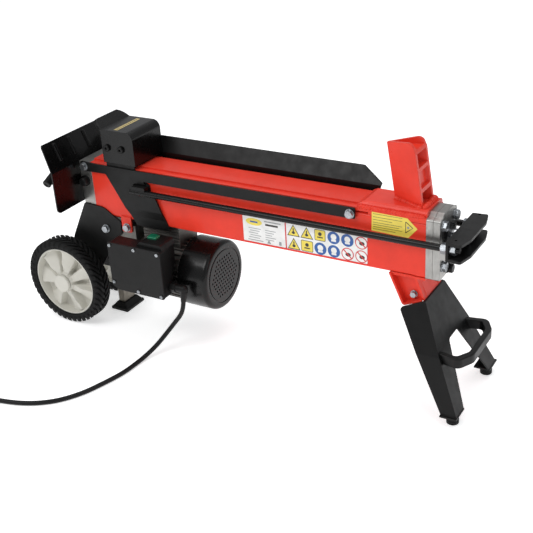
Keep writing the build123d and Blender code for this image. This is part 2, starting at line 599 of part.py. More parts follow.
save("motor_housing", motor_housing())
bell = bar_x(BELL_X0, HOUSE_X0, 0, MOTOR_Z, 61) + bar_x(HOUSE_X0, HOUSE_X0 + 5, 0, MOTOR_Z, 51.9)
save("motor_end_bell", bell - bar_x(-230, -200, 0, MOTOR_Z, 16.0))
save("stator", ring_x(-200, -124, 0, MOTOR_Z, 51.9, 33.6))
bearings = [ring_x(x, x + 10, 0, MOTOR_Z, 15.95, 7.06) for x in (-219, -117)]
save("motor_bearings", *bearings)
shaft = bar_x(GEAR_X0, -62, 0, MOTOR_Z, 7.0) + bar_x(-198, -126, 0, MOTOR_Z, 33.0)
save("rotor_shaft", shaft)


def cooling_fan():
    fan = ring_x(-96, -70, 0, MOTOR_Z, 14, 7.0) + ring_x(-96, -93, 0, MOTOR_Z, 56, 10)
    blades = 10
    for i in range(blades):
        blade = block(-94, -72, -1.2, 1.2, 12, 58)
        fan = fan + Pos(0, 0, MOTOR_Z) * Rot(360 / blades * i, 0, 0) * blade
    return fan


save("cooling_fan", cooling_fan())


def fan_cover():
    """Pressed cup with a raised rim, a dished end and a round field of air holes."""
    cup = bar_x(COVER_X0, COVER_X1, 0, MOTOR_Z, COVER_R)
    cup = fillet(cup.faces().sort_by(Axis.X)[-1].edges(), 9)
    inside = bar_x(COVER_X0 - 1, COVER_X1 - 2.5, 0, MOTOR_Z, COVER_R - 2.5)
    inside = fillet(inside.faces().sort_by(Axis.X)[-1].edges(), 7)
    cup = cup - inside - ring_x(COVER_X1 - 1.2, COVER_X1 + 1, 0, MOTOR_Z, 56, 52)
    pitch, field = 8.6, 44.0
    holes = []
    for row in range(-6, 7):
        for col in range(-6, 7):
            y = pitch * (col + 0.5 * (row % 2))
            z = pitch * 0.866 * row
            if y * y + z * z <= field * field:
                holes.append(bar_x(COVER_X1 - 4, COVER_X1 + 1, y, MOTOR_Z + z, 2.2))
    return cup - holes


save("fan_cover", fan_cover())

# ---- switch box ----------------------------------------------------------------------
BUTTON = (-148.6, -75.0)


def switch_box():
    face = [(BOX_X0, BOX_Z1), (BOX_X0, BOX_Z0 + 8), (BOX_X0 + 16, BOX_Z0), (BOX_X1, BOX_Z0),
            (BOX_X1, BOX_Z1)]
    body = prism_xz(face, BOX_Y0 + 3.2, BOX_Y1, [4, 3, 3, 4, 4])
    cavity = [(BOX_X0 + 3, BOX_Z1 - 3), (BOX_X0 + 3, BOX_Z0 + 11), (BOX_X0 + 17, BOX_Z0 + 3),
              (BOX_X1 - 3, BOX_Z0 + 3), (BOX_X1 - 3, BOX_Z1 - 3)]
    body = body - prism_xz(cavity, BOX_Y0 + 3, BOX_Y1 - 3, [3, 2, 2, 3, 3])
    base = block(-224, -122, BOX_Y1, -40, 130, 196) - bar_x(-300, -50, 0, MOTOR_Z, FIN_R + 0.1)
    base = base & block(-300, -50, BOX_Y1, -52, 100, 220)
    raised = prism_xz([(-172, BOX_Z1 - 1), (-162, 232), (BOX_X1 - 3, 232), (BOX_X1, BOX_Z1 - 1)],
                      -103, -60, [0, 3, 3, 0])
    well = Pos(BUTTON[0], BUTTON[1], 225) * extrude(RectangleRounded(21.8, 17.8, 3.4), 8)
    lower = block(-170, BOX_X1 - 3, BOX_Y1, -60, 196, BOX_Z1)
    body = body + base + raised + lower
    for x, z in LID_SCREWS:
        post = bar_y(BOX_Y0 + 3.2, BOX_Y1, x, z, 4) - bar_y(BOX_Y0 + 2, BOX_Y0 + 14, x, z, 1.6)
        body = body + post
    gland_hole = bar_x(BOX_X1 - 4, BOX_X1 + 1, GLAND_AT[0], GLAND_AT[1], 6.2)
    return body - well - gland_hole


LID_SCREWS = [(-229.0, 217.0), (-171.0, 217.0), (-117.0, 217.0), (-117.0, 128.0), (-171.0, 128.0),
              (-229.0, 138.0)]
GLAND_AT = (-86.0, 140.0)
save("switch_box", switch_box())
lid_face = [(BOX_X0 - 1, BOX_Z1 + 1), (BOX_X0 - 1, BOX_Z0 + 7), (BOX_X0 + 15, BOX_Z0 - 1),
            (BOX_X1 + 1, BOX_Z0 - 1), (BOX_X1 + 1, BOX_Z1 + 1)]
lid = prism_xz(lid_face, BOX_Y0, BOX_Y0 + 3.2, [5, 4, 4, 5, 5])
lid = chamfer(lid.faces().sort_by(Axis.Y)[0].outer_wire().edges(), 1.0)
for x, z in LID_SCREWS:
    lid = lid - bar_y(BOX_Y0 - 1, BOX_Y0 + 5, x, z, 1.9)
save("switch_lid", lid)


def lid_screw(x, z):
    shank = bar_y(BOX_Y0 - 0.1, BOX_Y0 + 13, x, z, 1.55)
    head = bar_y(BOX_Y0 - 2, BOX_Y0, x, z, 3.3)
    head = head - block(x - 0.5, x + 0.5, BOX_Y0 - 3, BOX_Y0 - 1, z - 4, z + 4)
    return shank + head


save("lid_screws", *[lid_screw(x, z) for x, z in LID_SCREWS])
button = Pos(BUTTON[0], BUTTON[1], 229.3) * extrude(RectangleRounded(21, 17, 3), 6.7)
save("start_button", fillet(button.faces().sort_by(Axis.Z)[-1].edges(), 2))
capacitor = bar_x(-216, -150, -95, 160, 11.5)
save("capacitor", fillet(capacitor.edges(), 1.5))

# ---- front leg -----------------------------------------------------------------------
CHEEK_OUT, CHEEK_IN = -28.0, -24.0     # the set-back cheek's faces
LEG_BOLT = (364.5, 201.0)


def leg_bracket():
    """Folded channel: a set-back cheek behind lips on each side, a top plate and a raked web."""
    cheek = prism_xz([(323, BEAM_Z0), (371, BEAM_Z0), (388, 201), (384.4, 196), (349, 181)],
                     CHEEK_OUT, CHEEK_IN, [0, 0, 3, 3, 5])
    lips = prism_xz([(323, BEAM_Z0), (327, BEAM_Z0), (351, 185), (383, 199), (384.4, 196), (349, 181)],
                    -42, CHEEK_IN, [0, 0, 2, 1, 1, 5])
    side = cheek + lips - bar_y(-60, -10, LEG_BOLT[0], LEG_BOLT[1], 4.1)
    top = block(323, 388, -BEAM_HALF, BEAM_HALF, BEAM_Z0 - 4, BEAM_Z0)
    foot_x = leg_plane(181)
    web = prism_xz([(371, BEAM_Z0), (388, LEG_TOP_Z), (foot_x, 181), (foot_x - 4, 181),
                    (384, LEG_TOP_Z), (367, BEAM_Z0)], -BEAM_HALF, BEAM_HALF)
    return side + mirrored(side) + top + web


def front_leg():
    """One folded sheet: a raked front face with an arch, and a tapered flange down each side."""
    near = [(-44, LEG_TOP_Z), (-76, 114), (-102, FOOT_H)]
    arch = [(-67, FOOT_H), (-20, 122), (20, 122), (67, FOOT_H)]
    face = near + arch + [(-y, z) for y, z in reversed(near)]
    low_x = leg_plane(FOOT_H)
    slab = prism_xz([(LEG_TOP_X, LEG_TOP_Z), (LEG_TOP_X + 3.4, LEG_TOP_Z), (low_x + 3.4, FOOT_H),
                     (low_x, FOOT_H)], -110, 110)
    front = slab & prism_yz(face, 300, 500, [4, 20, 0, 0, 9, 9, 0, 0, 20, 4])
    strip = near + [(-99, FOOT_H), (-73, 114), (-41, LEG_TOP_Z)]
    flange_face = [(347, 181), (LEG_TOP_X + 1, LEG_TOP_Z), (low_x + 1, FOOT_H), (446, FOOT_H)]
    flange = prism_xz(flange_face, -110, -30, [5, 0, 0, 4]) & prism_yz(strip, 300, 500)
    sole = block(444, low_x + 3.4, -106, -66, FOOT_H, FOOT_H + 3)
    flange = flange + sole
    return front + flange + mirrored(flange)


save("leg_bracket", leg_bracket())
save("front_leg", front_leg())


def lifting_handle():
    """Flat band bent into a loop in front of the leg."""
    outer = prism_xy([(418, -68), (464, -77), (481, -46), (481, 46), (464, 77), (418, 68)], 101, 120,
                     [0, 14, 24, 24, 14, 0])
    inner = prism_xy([(417, -56.5), (456, -64.5), (470, -41), (470, 41), (456, 64.5), (417, 56.5)],
                     100, 121, [0, 8, 14, 14, 8, 0])
    behind = prism_xz([(leg_plane(90) + 3.4, 90), (leg_plane(130) + 3.4, 130), (400, 130), (400, 90)],
                      -100, 100)
    loop = outer - inner - behind
    return fillet(loop.edges().filter_by(GeomType.CIRCLE), 2.5)


save("lifting_handle", lifting_handle())
pad = bar_z(0, FOOT_H, 461, -86, 11)
pad = chamfer(pad.faces().sort_by(Axis.Z)[0].edges(), 1.5)
save("rubber_feet", pad, mirrored(pad))

# ---- fasteners of the frame ----------------------------------------------------------
bolts = [side_bolt(x, z, -BAND_Y - SHEET, -BEAM_HALF) for x, z in PLATE_BOLTS]
far_bolts = [mirrored(side_bolt(x, z, -FAR_Y - SHEET, -BEAM_HALF)) for x, z in PLATE_BOLTS]
bracket_bolts = [side_bolt(x, z, -BEAM_HALF - SHEET, -BEAM_HALF) for x, z in BRACKET_BOLTS]
leg_bolt = side_bolt(LEG_BOLT[0], LEG_BOLT[1], CHEEK_OUT, CHEEK_IN, 10)
side_bolts = bracket_bolts + [leg_bolt]
guard_bolts = []
for y, z in GUARD_BOLTS:
    face_x = BLOCK_X0 - 2.6
    guard_bolts.append(hex_x(face_x - 5, face_x, y, z, 10) + bar_x(face_x, BLOCK_X0, y, z, 3.0))
save("frame_bolts", *bolts, *far_bolts, *side_bolts, *[mirrored(b) for b in side_bolts],
     *guard_bolts, *spacers)

# ---- mains lead ----------------------------------------------------------------------
ELBOW_X, BOOT_Z = -82.0, 134.0
EXIT = Vector(-86.0, -86.0, 112.0)
gland = bar_x(BOX_X1 - 3, BOX_X1, GLAND_AT[0], GLAND_AT[1], 6.1)
gland = gland + hex_x(BOX_X1, BOX_X1 + 13, GLAND_AT[0], GLAND_AT[1], 19)
gland = gland + bar_x(BOX_X1 + 13, ELBOW_X, GLAND_AT[0], GLAND_AT[1], 8)
gland = gland + Pos(ELBOW_X, GLAND_AT[0], GLAND_AT[1]) * Sphere(8)
boot_top = Vector(ELBOW_X, GLAND_AT[0], BOOT_Z + 2)
boot_axis = EXIT - boot_top
boot_faces = [Plane(origin=boot_top, z_dir=boot_axis) * Circle(7.4),
              Plane(origin=EXIT, z_dir=boot_axis) * Circle(5.2)]
boot = loft(boot_faces) - gland
save("cable_gland", gland, boot.solids().sort_by(SortBy.VOLUME)[-1])

# Route of the lead, from the boot to the coil. Its tube is straight runs and tangent arcs.
FLOOR_Z = CORD_R + 0.1
ROUTE = [tuple(EXIT), (-88.8, -86.0, 95.2), (-96.8, -86.5, 78.8), (-110.7, -88.6, 60.8),
         (-126.1, -97.4, 38.9), (-137.4, -115.1, 20.1), (-145.6, -139.6, 8.6),
         (-149.3, -167.2, FLOOR_Z), (-152.2, -212.3, FLOOR_Z), (-164.0, -255.0, FLOOR_Z),
         (-179.0, -300.0, FLOOR_Z), (-207.0, -342.0, FLOOR_Z), (-250.0, -371.0, FLOOR_Z),
         (-304.0, -386.0, FLOOR_Z), (-354.0, -391.0, FLOOR_Z), (-398.0, -391.0, FLOOR_Z),
         (-440.0, -385.0, FLOOR_Z)]
COIL_X, COIL_Y, COIL_R = -474.0, -331.0, 53.0
COIL_HALF, COIL_H = 11.0, 21.0


def cord_tube():
    points = [Vector(*p) for p in ROUTE]
    radii = []
    for i in range(1, len(points) - 1):
        before = points[i] - points[i - 1]
        after = points[i + 1] - points[i]
        turn = math.radians(before.get_angle(after))
        radii.append(0.45 * min(before.length, after.length) / math.tan(turn / 2))
    path = FilletPolyline(*points, radius=radii)
    tube = sweep(Plane(origin=points[0], z_dir=points[1] - points[0]) * Circle(CORD_R), path=path)
    print("cord radii", [round(r, 1) for r in radii])
    print("cord tube length", round(path.length, 1), "volume", round(tube.volume, 1),
          "section x length", round(math.pi * CORD_R ** 2 * path.length, 1))
    return tube


def cord_coil():
    """Outer shape of the turns of lead that lie in a ring on the floor."""
    ring = Cylinder(COIL_R + COIL_HALF, COIL_H) - Cylinder(COIL_R - COIL_HALF, COIL_H + 2)
    ring = fillet(ring.edges().filter_by(GeomType.CIRCLE), 5)
    return Pos(COIL_X, COIL_Y, COIL_H / 2 + 0.1) * ring


PLUG_X, PLUG_Z = COIL_X - COIL_R, 14.0
PLUG_Y = (-299.0, -274.0, -234.0, -215.0)


def mains_plug():
    """Moulded plug with a tapered boot and two round pins."""
    start, neck, front, tip = PLUG_Y
    boot = loft([Plane(origin=(PLUG_X, start, 9), z_dir=(0, 1, 0.15)) * Circle(5.4),
                 Plane(origin=(PLUG_X, neck + 2, PLUG_Z), z_dir=(0, 1, 0)) * Circle(9)])
    body = block(PLUG_X - 18, PLUG_X + 18, neck, front, PLUG_Z - 13, PLUG_Z + 13)
    body = fillet(body.edges().filter_by(Axis.Y), 11)
    body = chamfer(body.faces().sort_by(Axis.Y)[0].edges(), 4)
    pins = [bar_y(front - 2, tip, PLUG_X + side, PLUG_Z, 2.4) for side in (-9.5, 9.5)]
    return body + boot + pins[0] + pins[1]


save("mains_cord", cord_tube())
save("cord_coil", cord_coil())
save("mains_plug", mains_plug())
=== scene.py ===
import json
import math
import random

import bmesh
import bpy
from mathutils import Matrix, Vector


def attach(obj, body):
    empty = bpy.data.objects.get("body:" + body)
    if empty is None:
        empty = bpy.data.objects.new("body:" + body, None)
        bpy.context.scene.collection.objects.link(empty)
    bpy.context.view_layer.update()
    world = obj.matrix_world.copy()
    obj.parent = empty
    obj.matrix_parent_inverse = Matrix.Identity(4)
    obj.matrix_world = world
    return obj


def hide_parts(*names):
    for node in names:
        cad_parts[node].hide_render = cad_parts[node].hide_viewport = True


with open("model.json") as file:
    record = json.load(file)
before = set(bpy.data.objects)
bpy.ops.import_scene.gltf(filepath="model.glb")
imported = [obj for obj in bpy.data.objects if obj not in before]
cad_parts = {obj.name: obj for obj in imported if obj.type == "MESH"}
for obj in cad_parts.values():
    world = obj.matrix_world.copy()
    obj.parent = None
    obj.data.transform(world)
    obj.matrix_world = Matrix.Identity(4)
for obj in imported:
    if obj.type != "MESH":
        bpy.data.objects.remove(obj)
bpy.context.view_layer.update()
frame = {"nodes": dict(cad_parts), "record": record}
nodes = frame["nodes"]
MID_Y = 8.0                            # the beam's middle plane in the row frame, mm


def mm(x, y, z):
    """A point drawn about the beam's middle plane in millimetres, in the row frame in metres."""
    return Vector((x, y + MID_Y, z)) / 1000


# ---- camera --------------------------------------------------------------------------
CAMERA_AT = mm(930.8, -1415.6, 1012.7)
CAMERA_RIGHT = Vector((0.8633, 0.5014, -0.0570)).normalized()
CAMERA_BACK = Vector((0.4708, -0.7596, 0.4488)).normalized()
camera_up = CAMERA_BACK.cross(CAMERA_RIGHT).normalized()
camera_right = camera_up.cross(CAMERA_BACK)
camera_data = bpy.data.cameras.new("view")
camera_data.lens = 66.43
camera_data.sensor_width = 36.0
camera = bpy.data.objects.new("view", camera_data)
bpy.context.scene.collection.objects.link(camera)
camera.matrix_world = Matrix.Translation(CAMERA_AT) @ Matrix(
    (camera_right, camera_up, CAMERA_BACK)).transposed().to_4x4()
bpy.context.scene.camera = camera


# ---- materials -----------------------------------------------------------------------
class Nodes:
    """Short way to make and join shader nodes of one material."""

    def __init__(self, name):
        self.material = bpy.data.materials.new(name)
        self.material.use_nodes = True
        self.tree = self.material.node_tree
        self.tree.nodes.clear()
        self.out = self.add("ShaderNodeOutputMaterial")
        self.shader = self.add("ShaderNodeBsdfPrincipled")
        self.link(self.shader.outputs[0], self.out.inputs[0])
        self.place = self.add("ShaderNodeTexCoord").outputs["Object"]

    def add(self, kind, **values):
        node = self.tree.nodes.new(kind)
        for key, value in values.items():
            setattr(node, key, value)
        return node

    def link(self, source, target):
        self.tree.links.new(source, target)

    def feed(self, value, socket):
        """A socket takes a number or colour, or the output of another node."""
        if isinstance(value, bpy.types.NodeSocket):
            self.link(value, socket)
        else:
            socket.default_value = value

    def noise(self, scale, detail=4.0, rough=0.55, stretch=(1, 1, 1)):
        """Soft random pattern in the object's own space; scale is in cycles a metre."""
        place = self.place
        if stretch != (1, 1, 1):
            mapping = self.add("ShaderNodeMapping")
            mapping.inputs["Scale"].default_value = stretch
            self.link(place, mapping.inputs["Vector"])
            place = mapping.outputs[0]
        node = self.add("ShaderNodeTexNoise")
        self.link(place, node.inputs["Vector"])
        node.inputs["Scale"].default_value = scale
        node.inputs["Detail"].default_value = detail
        node.inputs["Roughness"].default_value = rough
        return node.outputs["Fac"]

    def cells(self, scale):
        """Cell pattern for moulded texture."""
        node = self.add("ShaderNodeTexVoronoi", feature="F1")
        self.link(self.place, node.inputs["Vector"])
        node.inputs["Scale"].default_value = scale
        return node.outputs["Distance"]

    def span(self, value, low, high, to_low, to_high):
        """Map a value from one range to another, held at its ends."""
        node = self.add("ShaderNodeMapRange")
        self.link(value, node.inputs["Value"])
        node.inputs["From Min"].default_value = low
        node.inputs["From Max"].default_value = high
        node.inputs["To Min"].default_value = to_low
        node.inputs["To Max"].default_value = to_high
        return node.outputs[0]

    def math(self, operation, a, b):
        node = self.add("ShaderNodeMath", operation=operation)
        self.feed(a, node.inputs[0])
        self.feed(b, node.inputs[1])
        return node.outputs[0]

    def mix(self, factor, a, b):
        node = self.add("ShaderNodeMix", data_type="RGBA")
        self.feed(factor, node.inputs["Factor"])
        self.feed(a, node.inputs["A"])
        self.feed(b, node.inputs["B"])
        return node.outputs["Result"]

    def edges(self, radius):
        """Rounded normal for sharp edges, and a mask of where the edges are; radius in metres."""
        bevel = self.add("ShaderNodeBevel", samples=4)
        bevel.inputs["Radius"].default_value = radius
        flat = self.add("ShaderNodeNewGeometry").outputs["Normal"]
        dot = self.add("ShaderNodeVectorMath", operation="DOT_PRODUCT")
        self.link(bevel.outputs[0], dot.inputs[0])
        self.link(flat, dot.inputs[1])
        return bevel.outputs[0], self.span(dot.outputs["Value"], 0.97, 0.75, 0.0, 1.0)

    def bump(self, height, distance, strength=1.0, normal=None):
        node = self.add("ShaderNodeBump")
        self.link(height, node.inputs["Height"])
        node.inputs["Distance"].default_value = distance
        node.inputs["Strength"].default_value = strength
        if normal is not None:
            self.link(normal, node.inputs["Normal"])
        return node.outputs[0]

    def finish(self, colour, rough, normal=None, metal=0.0, specular=0.5, coat=0.0, coat_rough=0.1):
        inputs = self.shader.inputs
        self.feed(colour, inputs["Base Color"])
        self.feed(rough, inputs["Roughness"])
        inputs["Metallic"].default_value = metal
        inputs["Specular IOR Level"].default_value = specular
        inputs["Coat Weight"].default_value = coat
        inputs["Coat Roughness"].default_value = coat_rough
        if normal is not None:
            self.link(normal, inputs["Normal"])
        return self.material


def rgb(red, green, blue):
    """sRGB 0-255 to a linear colour."""
    def linear(value):
        value /= 255
        return value / 12.92 if value <= 0.04045 else ((value + 0.055) / 1.055) ** 2.4
    return (linear(red), linear(green), linear(blue), 1.0)


def painted(name, base, worn, rough, grain=900.0, depth=0.00006, edge=0.0009, coat=0.0, dust=0.0,
            patch=26.0, wear=0.35, shine=0.22):
    """Paint on steel: fine texture, uneven gloss, paler thin edges and a little dust."""
    n = Nodes(name)
    patches = n.noise(patch, 5, 0.6)
    fine = n.noise(grain, 2, 0.5)
    deep = tuple(c * 0.88 for c in base[:3]) + (1.0,)
    colour = n.mix(n.span(patches, 0.3, 0.7, 0.0, 1.0), deep, base)
    rounded, mask = n.edges(edge)
    broken = n.math("MULTIPLY", mask, n.span(n.noise(140, 3), 0.42, 0.62, 0.0, wear))
    colour = n.mix(broken, colour, worn)
    if dust:
        up = n.add("ShaderNodeSeparateXYZ")
        n.link(n.add("ShaderNodeNewGeometry").outputs["Normal"], up.inputs[0])
        settled = n.math("MULTIPLY", n.span(up.outputs[2], 0.4, 1.0, 0.0, dust),
                         n.span(n.noise(45, 6, 0.7), 0.35, 0.75, 0.2, 1.0))
        colour = n.mix(settled, colour, (0.45, 0.43, 0.40, 1.0))
    gloss = n.span(n.noise(60, 4), 0.3, 0.7, rough * 0.85, rough * 1.2)
    normal = n.bump(fine, depth, 0.6, rounded)
    return n.finish(colour, gloss, normal, specular=shine, coat=coat, coat_rough=0.08)


def metal(name, base, dark, rough, grain=(1, 1, 1), scale=500.0, depth=0.00004, edge=0.0007,
          patch=30.0):
    """Bare metal with grain, stains and brighter edges."""
    n = Nodes(name)
    lines = n.noise(scale, 3, 0.6, grain)
    stain = n.noise(patch, 6, 0.65)
    colour = n.mix(n.span(stain, 0.35, 0.75, 0.0, 0.8), base, dark)
    colour = n.mix(n.span(lines, 0.3, 0.7, 0.0, 0.35), colour, dark)
    rounded, mask = n.edges(edge)
    bright = tuple(min(1.0, c * 1.35) for c in base[:3]) + (1.0,)
    colour = n.mix(n.math("MULTIPLY", mask, 0.5), colour, bright)
    gloss = n.span(lines, 0.25, 0.75, rough * 0.7, rough * 1.3)
    return n.finish(colour, gloss, n.bump(lines, depth, 0.7, rounded), metal=1.0)


def moulded(name, base, rough, grain=700.0, depth=0.00008, edge=0.0006, lift=1.5, patch=40.0,
            shine=0.2):
    """Moulded plastic or rubber with a spark-eroded texture."""
    n = Nodes(name)
    texture = n.cells(grain)
    colour = n.mix(n.span(n.noise(patch, 5, 0.6), 0.3, 0.7, 0.0, 1.0), base,
                   tuple(min(1.0, c * lift) for c in base[:3]) + (1.0,))
    rounded, mask = n.edges(edge)
    pale = tuple(min(1.0, c * 2.2 + 0.01) for c in base[:3]) + (1.0,)
    colour = n.mix(n.math("MULTIPLY", mask, 0.3), colour, pale)
    gloss = n.span(n.noise(90, 4), 0.3, 0.7, rough * 0.88, rough * 1.12)
    return n.finish(colour, gloss, n.bump(texture, depth, 0.5, rounded), specular=shine)


RED, WORN_RED = rgb(230, 58, 40), rgb(244, 140, 118)
ALONG_X, STACKED = (0.1, 1, 1), (30, 1, 1)   # grain along X, and sheets stacked along X
looks = {
    "red_paint": painted("red_paint", RED, WORN_RED, 0.34, 500, 0.00008, coat=0.08, dust=0.04),
    "red_cast": painted("red_cast", RED, WORN_RED, 0.32, 170, 0.0003, 0.0016, coat=0.08),
    "black_paint": painted("black_paint", rgb(15, 15, 15), rgb(74, 74, 74), 0.4, 800, 0.00006,
                           dust=0.015),
    "gloss_black_paint": painted("gloss_black_paint", rgb(8, 8, 8), rgb(64, 64, 64), 0.24, 260,
                                 0.00005, 0.0014, coat=0.1, dust=0.008),
    "black_rod": painted("black_rod", rgb(12, 12, 12), rgb(66, 66, 66), 0.28, 900, 0.00003,
                         coat=0.05),
    "black_bolts": painted("black_bolts", rgb(12, 12, 12), rgb(80, 80, 80), 0.3, 900, 0.00004),
    "machined_aluminium": metal("machined_aluminium", rgb(172, 171, 168), rgb(136, 135, 132), 0.4,
                                (1, 1, 0.1), 1100, 0.00003),
    "cast_aluminium": metal("cast_aluminium", rgb(134, 132, 128), rgb(92, 90, 87), 0.5, scale=700,
                            depth=0.00012),
    "zinc_bolts": metal("zinc_bolts", rgb(182, 186, 190), rgb(104, 108, 112), 0.3, scale=600),
    "bright_steel": metal("bright_steel", rgb(188, 188, 188), rgb(120, 120, 120), 0.28, ALONG_X,
                          800),
    "chrome_rod": metal("chrome_rod", rgb(220, 221, 224), rgb(170, 171, 175), 0.08, ALONG_X, 500,
                        0.00001),
    "dark_steel": metal("dark_steel", rgb(84, 82, 80), rgb(46, 45, 44), 0.4, ALONG_X, 600),
    "copper_iron": metal("copper_iron", rgb(176, 104, 70), rgb(80, 60, 52), 0.45, STACKED, 60,
                         0.0002),
    "post_steel": metal("post_steel", rgb(140, 135, 126), rgb(88, 82, 74), 0.42, (1, 1, 0.08), 400),
    "black_plastic": moulded("black_plastic", rgb(15, 15, 15), 0.44),
    "label_vinyl": moulded("label_vinyl", rgb(228, 228, 224), 0.35, 1200, 0.00002),
    "capacitor_plastic": moulded("capacitor_plastic", rgb(190, 190, 184), 0.4),
    "rim_plastic": moulded("rim_plastic", rgb(200, 198, 189), 0.42, 500, 0.00005, 0.0012, 1.05),
    "tyre_rubber": moulded("tyre_rubber", rgb(18, 18, 18), 0.6, 420, 0.00012, 0.0006, 1.6,
                           shine=0.12),
    "pad_rubber": moulded("pad_rubber", rgb(15, 15, 15), 0.55, 500, 0.0001),
    "grip_rubber": moulded("grip_rubber", rgb(19, 19, 19), 0.48, 600, 0.0001),
    "cord_rubber": moulded("cord_rubber", rgb(16, 16, 17), 0.42, 900, 0.00005),
}
n = Nodes("green_button")
spark = n.cells(900)
green = n.mix(n.span(n.noise(120, 4), 0.3, 0.7, 0.0, 1.0), rgb(10, 92, 66), rgb(22, 118, 84))
button_normal = n.bump(spark, 0.00004, 0.5, n.edges(0.0008)[0])
looks["green_button"] = n.finish(green, 0.24, button_normal, coat=0.3)

slots = {part["node"]: part["material_slot"] for part in frame["record"]["subparts"]}
for node_name, node in nodes.items():
    for material_slot in node.material_slots:
        material_slot.material = looks[slots[node_name]]


# ---- helpers for new pieces ----------------------------------------------------------
def piece(name, mesh, body, slot, smooth=True, angle=35.0):
    """Put a mesh into the scene, riding on a body, with the look of its slot."""
    obj = bpy.data.objects.new(name, mesh)
    bpy.context.scene.collection.objects.link(obj)
    if not mesh.materials:
        mesh.materials.append(looks[slot])
    if smooth:
        mesh.polygons.foreach_set("use_smooth", [True] * len(mesh.polygons))
        mesh.set_sharp_from_angle(angle=math.radians(angle))
    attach(obj, body)
    return obj


def mesh_of(bm, name):
    """Mesh from a bmesh, with its faces turned outwards."""
    bmesh.ops.recalc_face_normals(bm, faces=bm.faces)
    mesh = bpy.data.meshes.new(name)
    bm.to_mesh(mesh)
    bm.free()
    return mesh


# ---- mains lead ----------------------------------------------------------------------
CORD_R = 4.5
FLOOR_Z = CORD_R + 0.1
ROUTE = [(-86.0, -86.0, 112.0), (-88.8, -86.0, 95.2), (-96.8, -86.5, 78.8), (-110.7, -88.6, 60.8),
         (-126.1, -97.4, 38.9), (-137.4, -115.1, 20.1), (-145.6, -139.6, 8.6),
         (-149.3, -167.2, FLOOR_Z), (-152.2, -212.3, FLOOR_Z), (-164.0, -255.0, FLOOR_Z),
         (-179.0, -300.0, FLOOR_Z), (-207.0, -342.0, FLOOR_Z), (-250.0, -371.0, FLOOR_Z),
         (-304.0, -386.0, FLOOR_Z), (-354.0, -391.0, FLOOR_Z), (-398.0, -391.0, FLOOR_Z),
         (-440.0, -385.0, FLOOR_Z)]
COIL_AT = (-474.0, -331.0)
ENTRY_R = 61.0                         # radius at which the lead meets the coil
LANE_OUT, LANE_IN, LAYER = 58.6, 49.0, 9.2
COIL_STEPS = 18                        # points in a turn
# Each leg of the coil: turns wound, then the radius and height that it ends at.
COIL_LEGS = [(0.06, LANE_OUT, FLOOR_Z), (0.86, LANE_OUT, FLOOR_Z), (0.14, LANE_IN, FLOOR_Z),
             (0.84, LANE_IN, FLOOR_Z), (0.16, LANE_IN, FLOOR_Z + LAYER),
             (0.84, LANE_IN, FLOOR_Z + LAYER), (0.14, LANE_OUT, FLOOR_Z + LAYER),
             (0.30, LANE_OUT, FLOOR_Z + LAYER)]
COIL_TO_PLUG = [(-531.5, -316.0, 13.0), (-528.5, -305.5, 10.8), (-527.0, -299.0, 9.0)]


def coil_points():
    """Turns beside and on each other, wound clockwise from where the lead meets the coil."""
    start = math.atan2(ROUTE[-1][1] - COIL_AT[1], ROUTE[-1][0] - COIL_AT[0])
    radius, height, turned, points = ENTRY_R, FLOOR_Z, 0.0, []
    for turns, end_radius, end_height in COIL_LEGS:
        steps = max(1, round(turns * COIL_STEPS))
        for step in range(1, steps + 1):
            part = step / steps
            angle = start - 2 * math.pi * (turned + turns * part)
            r = radius + (end_radius - radius) * part
            z = height + (end_height - height) * part
            points.append((COIL_AT[0] + r * math.cos(angle), COIL_AT[1] + r * math.sin(angle), z))
        turned += turns
        radius, height = end_radius, end_height
    return points


def lead():
    """The mains lead: one NURBS curve from the bend protector to the plug."""
    points = [mm(*p) for p in ROUTE + coil_points()]
    points += [mm(*p) for p in COIL_TO_PLUG]
    curve = bpy.data.curves.new("mains_lead", "CURVE")
    curve.dimensions = "3D"
    spline = curve.splines.new("NURBS")
    spline.points.add(len(points) - 1)
    for target, point in zip(spline.points, points):
        target.co = (*point, 1.0)
    spline.order_u = 3
    spline.use_endpoint_u = True
    spline.resolution_u = 6
    curve.bevel_depth = CORD_R / 1000
    curve.bevel_resolution = 5
    curve.use_fill_caps = True
    curve.materials.append(looks["cord_rubber"])
    obj = bpy.data.objects.new("mains_lead", curve)
    bpy.context.scene.collection.objects.link(obj)
    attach(obj, "chassis")
    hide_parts("mains_cord", "cord_coil")
    return obj


cord = lead()


# ---- wheels --------------------------------------------------------------------------
WHEEL_AT = (-384.0, 93.4)
WHEEL_OUT = 74.0                       # wheel's middle plane, from the beam's middle
LUG_COUNT, TYRE_STEPS = 40, 160
WALL_STATION = 5                       # from this station on, a lug lies on the tyre's side wall


def strip(bm, rings, close_along=False, caps=False):
    """Faces between closed rings that have the same number of points."""
    rows = [[bm.verts.new(p) for p in ring] for ring in rings]
    count = len(rows[0])
    pairs = list(zip(rows, rows[1:] + rows[:1])) if close_along else list(zip(rows, rows[1:]))
    for first, second in pairs:
        for i in range(count):
            j = (i + 1) % count
            bm.faces.new((first[i], first[j], second[j], second[i]))
    if caps:
        bm.faces.new(rows[0])
        bm.faces.new(reversed(rows[-1]))


def on_wheel(side, radius, angle, out):
    """Point on a wheel: radius, turn, and how far out from the wheel's middle plane."""
    x = WHEEL_AT[0] + radius * math.cos(angle)
    z = WHEEL_AT[1] + radius * math.sin(angle)
    return mm(x, side * (WHEEL_OUT + out), z)


